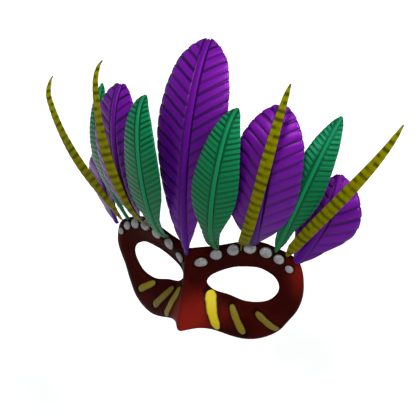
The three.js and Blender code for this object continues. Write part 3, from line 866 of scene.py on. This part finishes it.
# tip_dye_and_highlight is the dye near the tip; for the purple feathers it is made lighter as a painted highlight
DYES = {
    "purple": {
        "vane": dict(shine=0.6, dye=colour(52, 1, 86), tip_dye_and_highlight=colour(92, 8, 130), base_dye=colour(42, 0, 84),
                     line_dye=colour(8, 0, 44), gleam=(0.8, 0.14, 1.0, 1.0), line_width=0.1, line_soft=0.14,
                     faint=0.5, border_dark=1.0),
        "shaft": (colour(40, 0, 78), colour(78, 6, 112)),
    },
    "green": {
        "vane": dict(shine=0.4, dye=colour(3, 72, 38), tip_dye_and_highlight=colour(10, 108, 66), base_dye=colour(2, 62, 31),
                     line_dye=colour(1, 40, 16), gleam=(0.1, 0.8, 0.45, 1.0), line_width=0.13, line_soft=0.18,
                     faint=0.5, border_dark=0.9),
        "shaft": (colour(3, 74, 38), colour(12, 100, 62)),
    },
    "yellow": {
        "vane": dict(shine=0.04, dye=colour(94, 93, 0), tip_dye_and_highlight=colour(112, 110, 2), base_dye=colour(86, 84, 0),
                     line_dye=colour(48, 46, 0), gleam=(0.4, 0.4, 0.02, 1.0), line_width=0.05, line_soft=0.34,
                     faint=0.85, border_dark=0.0),
        "shaft": (colour(100, 98, 1), colour(122, 120, 4)),
    },
}
vane_finishes = {kind: vane_finish(f"{kind}_vane", **dyes["vane"]) for kind, dyes in DYES.items()}
print("vane finishes:", sorted(vane_finishes))

# %% [markdown]
# ## The shaft's finish
# The shaft is horn, dyed with the vane. It is smoother than the barbs, so it gets a calmer colour, long fine lines
# and a higher gloss.

# %% Finish of a dyed shaft
def shaft_finish(name, gleam, low_dye, high_dye):
    material, tree, shader = new_finish(name, Specular_IOR_Level=0.25, Specular_Tint=gleam)
    _, along = uv_parts(tree, "blade")
    stretch = add(tree, "ShaderNodeMapping", Vector=uv_map(tree, "blade"), Scale=(26.0, 3.0, 1.0))
    lines = noise(tree, 1.0, 3.0, stretch.outputs[0])
    horn = blend_colours(tree, fade(tree, along, 0.0, 1.0), low_dye, high_dye)
    lined = blend_colours(tree, calc(tree, "MULTIPLY", fade(tree, lines, 0.45, 0.8), 0.3), horn, BLACK)
    dress(tree, shader, lined, vary(tree, lines, 0.25, 0.28))
    add_bump(tree, shader, lines, 0.15 * MM, 0.4)
    return material


shaft_finishes = {
    kind: shaft_finish(f"{kind}_shaft", dyes["vane"]["gleam"], *dyes["shaft"]) for kind, dyes in DYES.items()
}
print("shaft finishes:", sorted(shaft_finishes))

# %% [markdown]
# ## Vanes made of barbs
# A leaf-shaped sheet with lines painted on would look flat from the side. Here each row of points is a real barb: it
# leaves the shaft at the barb's angle and stops where it meets the feather's outline. The dark line between two ribs is
# a groove, each rib bulges a little, and every rib ends in a small rounded tooth at the edge. The search for the place
# where a barb meets the outline halves an interval again and again, for all barbs at once.

# %% Outlines and barbs of each kind
BLADE_SHAPES = {
    # share of the way along, half width as a share of the full half width
    "long": [(0, 0.1), (0.03, 0.14), (0.08, 0.27), (0.16, 0.43), (0.33, 0.73), (0.47, 0.91), (0.56, 0.985),
             (0.65, 1), (0.77, 0.94), (0.86, 0.81), (0.91, 0.7), (0.965, 0.42), (1, 0.12)],
    "round": [(0, 0.1), (0.04, 0.14), (0.09, 0.3), (0.15, 0.52), (0.23, 0.77), (0.34, 0.94), (0.48, 1),
              (0.64, 0.97), (0.78, 0.88), (0.88, 0.68), (0.95, 0.46), (1, 0.2)],
    "fan": [(0, 0.1), (0.13, 0.36), (0.28, 0.6), (0.4, 0.85), (0.5, 0.98), (0.6, 1), (0.7, 0.92),
            (0.85, 0.64), (0.93, 0.38), (1, 0.08)],
    "lance": [(0, 0.1), (0.04, 0.17), (0.09, 0.3), (0.2, 0.42), (0.27, 0.63), (0.34, 0.84), (0.42, 0.97),
              (0.5, 1), (0.6, 0.94), (0.7, 0.83), (0.81, 0.67), (0.88, 0.5), (0.95, 0.3), (1, 0.05)],
    "strip": [(0, 0.24), (0.077, 0.92), (0.25, 1), (0.55, 1), (0.62, 0.93), (0.74, 0.8), (0.81, 0.69), (0.87, 0.59),
              (0.94, 0.45), (1, 0.1)],
}
KINDS = {
    # full width, shaft width, rib length along the shaft, barb angle from the shaft, rows of points in a rib, depth
    # of the notch between two teeth, and whether the bands run on over the shaft
    "purple": dict(width=69 * MM, shaft=6.8 * MM, rib=9.4 * MM, angle=55, rows=10, tooth=0.5 * MM, banded_shaft=False),
    "green": dict(width=38 * MM, shaft=4.2 * MM, rib=4.4 * MM, angle=66, rows=7, tooth=0.4 * MM, banded_shaft=False),
    "yellow": dict(width=9.7 * MM, shaft=1.5 * MM, rib=6.4 * MM, angle=87, rows=7, tooth=0.0, banded_shaft=True),
}
SHAFT_TAPER = 0.25
SHAFT_MOST = 0.8
VANE_FOLD = 0.06
VANE_CURVE = 0.12
VANE_THICKNESS = 0.7 * MM
GROOVE_DEPTH = 0.3 * MM
RIB_BULGE = 0.35 * MM
BARB_POINTS = 9
SEARCH_ROUNDS = 36
SEARCH_MARGIN = 1.05


def half_width_at(shape, along, full_half):
    places, widths = zip(*BLADE_SHAPES[shape])
    return np.interp(along, places, widths, right=0.0) * full_half


def shaft_half_at(shape, along, full_half, shaft):
    taper = shaft / 2 * (1 - SHAFT_TAPER * along)
    return np.minimum(taper, SHAFT_MOST * half_width_at(shape, along, full_half))


def barb_reach(shape, full_half, start, inner, length, slope):
    """How far out from the shaft's middle each barb meets the outline."""
    low, high = inner.copy(), np.full_like(inner, full_half * SEARCH_MARGIN)
    for _ in range(SEARCH_ROUNDS):
        middle = (low + high) / 2
        along = (start + (middle - inner) * slope) / length
        inside = (half_width_at(shape, along, full_half) > middle) & (along <= 1)
        low, high = np.where(inside, middle, low), np.where(inside, high, middle)
    return low


print("kinds:", {kind: values["rib"] / MM for kind, values in KINDS.items()}, "mm a rib")

# %% [markdown]
# ## From barbs to a feather
# The spine gives a direction at every place. One arrow points across the blade, another out of its face, and each
# barb's points are laid out along them. A left and a right vane and a rounded shaft are then joined in one mesh. The
# shaft is a tube that starts at the quill's foot on the brow and follows the spine to the tip.

# %% Build one feather
SHAFT_SIDES = 14
SHAFT_STEPS = 90
SHAFT_FLATNESS = 0.8
SHAFT_FULL_HALF = 1.2 * MM  # a shaft narrower than this is also lower
BANDED_CROWN = 0.45
TIP_ROUNDING = 0.012
QUILL_FOOT_SIZE = 0.8
LAST_BARB = 0.9985
VANE_TUCK = 0.75  # where the vane starts under the shaft, as a share of the shaft's half width
GROOVE_WIDTH = 0.085
TOOTH_FADE = 8 * MM
SWAY_WAVES = 9
FULL_BULGE_RIB = 6 * MM
EDGE_THINNING = 0.55
LEAST_EDGE = 1e-4
BLADE_UNIT = 10 * MM
OTHER_SIDE_COUNT = 40  # so that the two vanes of a feather don't have the same ribs dark


def frames_along(spine, turn):
    """The across and outward directions at every sample of the spine."""
    tangent = np.gradient(spine, axis=0)
    tangent /= np.linalg.norm(tangent, axis=1, keepdims=True)
    sideways = np.array([math.cos(turn), math.sin(turn), 0.0])
    width = sideways - tangent * (tangent @ sideways)[:, None]
    width /= np.linalg.norm(width, axis=1, keepdims=True)
    return width, np.cross(width, tangent)


def sample(values, along):
    """Reads a list of vectors, evenly spaced from 0 to 1, at any places between."""
    grid = np.linspace(0, 1, len(values))
    return np.stack([np.interp(along, grid, values[:, axis]) for axis in range(3)], -1)


def build_vane(feather, side):
    kind, shape = KINDS[feather["kind"]], feather["shape"]
    length, full_half = feather["length"], feather["full_half"]
    ribs = length / kind["rib"]
    start = np.linspace(0, LAST_BARB, int(ribs * kind["rows"])) * length
    slope = 1 / math.tan(math.radians(kind["angle"]))
    inner = VANE_TUCK * shaft_half_at(shape, start / length, full_half, kind["shaft"])
    reach = barb_reach(shape, full_half, start, inner, length, slope)
    count = start / kind["rib"] + feather["first_rib"]
    groove = np.exp(-((np.abs(count % 1 - 0.5)) / GROOVE_WIDTH) ** 2)
    reach = np.maximum(inner, reach - kind["tooth"] * groove * (1 - np.exp(-reach / TOOTH_FADE)))
    out = np.linspace(0, 1, BARB_POINTS)[None]
    x = inner[:, None] + (reach - inner)[:, None] * out
    along = np.clip((start[:, None] + (x - inner[:, None]) * slope) / length, 0, 1)
    edge = np.maximum(half_width_at(shape, along, full_half), LEAST_EDGE)
    beyond = np.maximum(0, x - shaft_half_at(shape, along, full_half, kind["shaft"]))
    back = VANE_FOLD * beyond + VANE_CURVE * beyond**2 / full_half
    sway = feather["sway"] * np.sin(along * SWAY_WAVES + feather["phase"] + side) * (beyond / full_half) ** 2
    rise = RIB_BULGE * np.sin(np.pi * ((count + 0.5) % 1))[:, None] * np.sin(np.pi * np.clip(out, 0.05, 1) * 0.5)
    rise = rise * min(1, kind["rib"] / FULL_BULGE_RIB)
    thickness = VANE_THICKNESS * (1 - EDGE_THINNING * x / (edge + x)) - GROOVE_DEPTH * groove[:, None] * (out > 0)
    centre, width, normal = (sample(feather[name], along) for name in ("spine", "width", "normal"))
    middle = centre + width * (side * x)[..., None]
    faces_at = [middle + normal * (rise - back + sway + half * thickness / 2)[..., None] for half in (1, -1)]
    counts = np.broadcast_to(count[:, None] + OTHER_SIDE_COUNT * (side < 0), x.shape)
    barb = np.stack([counts, np.broadcast_to(out, x.shape)], -1)
    blade = np.stack([beyond / BLADE_UNIT, along], -1)
    return faces_at, barb, blade


def close_sheet(front, back):
    """Points and faces of a thin body between two equal grids."""
    rows, columns = front.shape[:2]
    points = np.vstack([front.reshape(-1, 3), back.reshape(-1, 3)])
    faces = grid_faces(rows, columns) + grid_faces(rows, columns, rows * columns)
    border = [r * columns for r in range(rows)] + [(rows - 1) * columns + c for c in range(1, columns)]
    border += [r * columns + columns - 1 for r in range(rows - 2, -1, -1)] + list(range(columns - 2, 0, -1))
    for here, there in zip(border, border[1:] + border[:1]):
        faces.append((here, there, there + rows * columns, here + rows * columns))
    return points, faces


def build_shaft(feather):
    kind, shape = KINDS[feather["kind"]], feather["shape"]
    along = np.linspace(0, 1, SHAFT_STEPS)
    half = shaft_half_at(shape, along, feather["full_half"], kind["shaft"])
    crown = (VANE_SKIN + SHAFT_HEIGHT * (1 - SHAFT_TAPER * along)) * np.minimum(1, half / SHAFT_FULL_HALF) ** 0.5
    crown *= BANDED_CROWN if kind["banded_shaft"] else 1
    end = np.sqrt(np.clip((1 - along) / TIP_ROUNDING, 0, 1))
    centre, width, normal = (sample(feather[name], along) for name in ("spine", "width", "normal"))
    centre = np.vstack([feather["foot"], centre])
    width, normal = np.vstack([width[:1], width]), np.vstack([normal[:1], normal])
    half = np.concatenate([[half[0] * QUILL_FOOT_SIZE], half * end])
    crown = np.concatenate([[crown[0] * QUILL_FOOT_SIZE], crown * end])
    turn = np.arange(SHAFT_SIDES) * 2 * math.pi / SHAFT_SIDES
    flat = np.sign(np.cos(turn)) * np.abs(np.cos(turn)) ** SHAFT_FLATNESS
    points = centre[:, None] + width[:, None] * (half[:, None] * flat)[..., None]
    points = points + normal[:, None] * (crown[:, None] * np.sin(turn))[..., None]
    faces = grid_faces(len(centre), SHAFT_SIDES, closed=True)
    faces += [tuple(range(SHAFT_SIDES))[::-1], tuple(range((len(centre) - 1) * SHAFT_SIDES, len(centre) * SHAFT_SIDES))]
    along = np.concatenate([[0], along])
    blade = np.stack(np.broadcast_arrays(flat[None], along[:, None]), -1).reshape(-1, 2)
    barb = np.stack([blade[:, 1] * feather["length"] / kind["rib"] + feather["first_rib"], np.zeros(len(blade))], -1)
    if kind["banded_shaft"]:
        blade = blade * np.array([0, 1])
    return points.reshape(-1, 3), faces, 0 if kind["banded_shaft"] else 1, barb, blade


print("feather builders are ready")

# %% [markdown]
# ## Thirteen feathers
# One loop makes them all. A feather off the middle is built once on the wearer's left and mirrored, just as a maker
# pairs a left and a right wing feather. A seeded random stream gives each pair its own sway, and the same one on every
# run.

# %% Build the crest
FIRST_SEED = 40


def feather_values(row, random):
    node, kind, shape, seat, foot, rise, wide, turn, *bends = row
    spine, length, foot_point = feather_spine(seat, foot * QUILL_FOOT, rise * CREST_RISE, *bends)
    width, normal = frames_along(spine, math.radians(turn))
    return {
        "kind": kind, "shape": shape, "length": length, "full_half": wide * KINDS[kind]["width"] / 2,
        "spine": spine, "width": width, "normal": normal, "foot": foot_point,
        "sway": random.uniform(0.6, 1.2) * MM, "phase": random.uniform(0, 6), "first_rib": random.uniform(0, 1),
    }


def build_feather(row, random):
    feather = feather_values(row, random)
    points, faces, slots, barbs, blades = [], [], [], [], []

    def join(new_points, new_faces, slot, barb, blade):
        start = sum(len(part) for part in points)
        points.append(new_points)
        faces.extend(tuple(index + start for index in face) for face in new_faces)
        slots.extend([slot] * len(new_faces))
        barbs.append(barb)
        blades.append(blade)

    for side in (1, -1):
        (front, rear), barb, blade = build_vane(feather, side)
        sheet_points, sheet_faces = close_sheet(front, rear)
        twice = [np.vstack([values.reshape(-1, 2)] * 2) for values in (barb, blade)]
        join(sheet_points, sheet_faces, 0, *twice)
    join(*build_shaft(feather))
    layers = {"barb": np.vstack(barbs), "blade": np.vstack(blades)}
    return np.vstack(points), faces, slots, layers


total_faces = 0
for number, row in enumerate(FEATHERS):
    node, kind = row[:2]
    points, faces, slots, layers = build_feather(row, np.random.default_rng(FIRST_SEED + number))
    pair = [(node, 1)] if row[3] == 0 else [(f"{node}_left", 1), (f"{node}_right", -1)]
    for name, side in pair:
        placed = points * np.array([side, 1, 1])
        finishes = [vane_finishes[kind], shaft_finishes[kind]]
        make_piece(f"{name}_vanes", placed, faces, finishes, name, slots=slots, layers=layers)
        total_faces += len(faces)
print("feather faces in all:", total_faces)

# %% [markdown]
# ## Measure and finish
# The model made here has to keep the size of the frame. Both boxes are printed, so they can be compared.

# %% Print the sizes of both boxes
model_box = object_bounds()
for name, corners in (("frame", cad_box), ("model", model_box)):
    print(name, [[round(value / MM, 1) for value in corner] for corner in corners])
